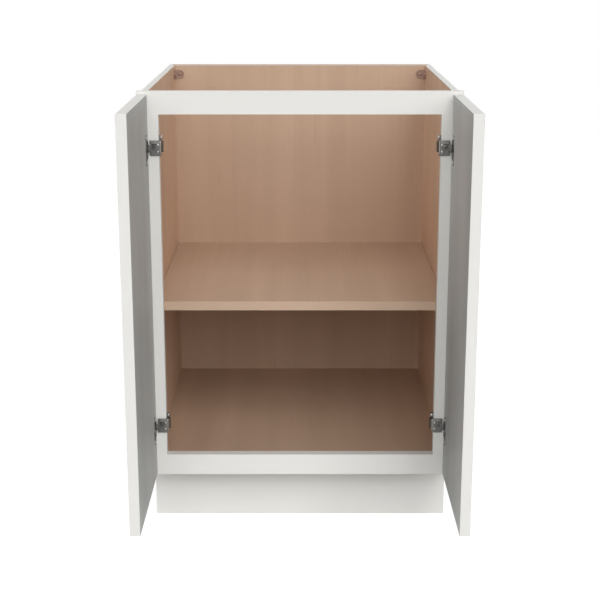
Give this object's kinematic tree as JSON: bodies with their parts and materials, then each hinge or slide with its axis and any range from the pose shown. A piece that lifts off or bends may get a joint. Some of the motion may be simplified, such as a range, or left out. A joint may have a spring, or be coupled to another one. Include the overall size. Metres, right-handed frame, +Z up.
{
  "type": "sink base cabinet",
  "caption": "Face-framed base cabinet, open at the top, with a shelf and a pair of slab doors on concealed hinges.",
  "frame": {"origin": "on the floor, in the middle of the width, on the wall plane behind the cabinet", "axes": "+X to the right seen from the front, +Y into the wall, +Z up; the doors open towards -Y"},
  "size_m": [0.6096, 0.8947, 0.8763],
  "materials": {
    "white_paint": "sprayed white paint, satin",
    "white_sided_plywood": "plywood, white outside, clear-coated birch inside",
    "birch_plywood": "clear-coated birch plywood",
    "solid_birch": "planed, uncoated",
    "bracket_plastic": "moulded brown",
    "hinge_steel": "pressed steel, dark nickel",
    "bright_steel": "bright zinc"
  },
  "bodies": {
    "cabinet": {"back_panel": "birch_plywood", "bottom_panel": "birch_plywood", "bottom_rail": "white_paint", "corner_bracket_back_left": "bracket_plastic", "corner_bracket_back_right": "bracket_plastic", "corner_bracket_front_left": "bracket_plastic", "corner_bracket_front_right": "bracket_plastic", "corner_bracket_screws": "bright_steel", "frame_dowels": "solid_birch", "hang_rail_bottom": "solid_birch", "hang_rail_top": "solid_birch", "hinge_adjusting_screws": "bright_steel", "hinge_ear_screws": "bright_steel", "hinge_rivets": "bright_steel", "lower_left_hinge_adjuster": "hinge_steel", "lower_left_hinge_arm": "hinge_steel", "lower_left_hinge_wrap_plate": "hinge_steel", "lower_right_hinge_adjuster": "hinge_steel", "lower_right_hinge_arm": "hinge_steel", "lower_right_hinge_wrap_plate": "hinge_steel", "shelf": "birch_plywood", "shelf_edge_band": "solid_birch", "shelf_pins": "bright_steel", "side_panel_left": "white_sided_plywood", "side_panel_right": "white_sided_plywood", "stile_left": "white_paint", "stile_right": "white_paint", "toe_board": "white_paint", "top_rail": "white_paint", "upper_left_hinge_adjuster": "hinge_steel", "upper_left_hinge_arm": "hinge_steel", "upper_left_hinge_wrap_plate": "hinge_steel", "upper_right_hinge_adjuster": "hinge_steel", "upper_right_hinge_arm": "hinge_steel", "upper_right_hinge_wrap_plate": "hinge_steel"},
    "left_door": {"left_door": "white_paint", "left_hinge_flange_screws": "bright_steel", "lower_left_hinge_cup": "hinge_steel", "lower_left_hinge_pin": "bright_steel", "lower_left_hinge_spring": "bright_steel", "upper_left_hinge_cup": "hinge_steel", "upper_left_hinge_pin": "bright_steel", "upper_left_hinge_spring": "bright_steel"},
    "right_door": {"lower_right_hinge_cup": "hinge_steel", "lower_right_hinge_pin": "bright_steel", "lower_right_hinge_spring": "bright_steel", "right_door": "white_paint", "right_hinge_flange_screws": "bright_steel", "upper_right_hinge_cup": "hinge_steel", "upper_right_hinge_pin": "bright_steel", "upper_right_hinge_spring": "bright_steel"}
  },
  "joints": [
    {"name": "left_door_hinge", "type": "hinge", "parent": "cabinet", "child": "left_door", "pos_m": [-0.29025, -0.6061, 0.49475], "axis": [0, 0, 1], "range_deg": [-10, 90]},
    {"name": "right_door_hinge", "type": "hinge", "parent": "cabinet", "child": "right_door", "pos_m": [0.29025, -0.6061, 0.49475], "axis": [0, 0, -1], "range_deg": [-10, 90]}
  ]
}
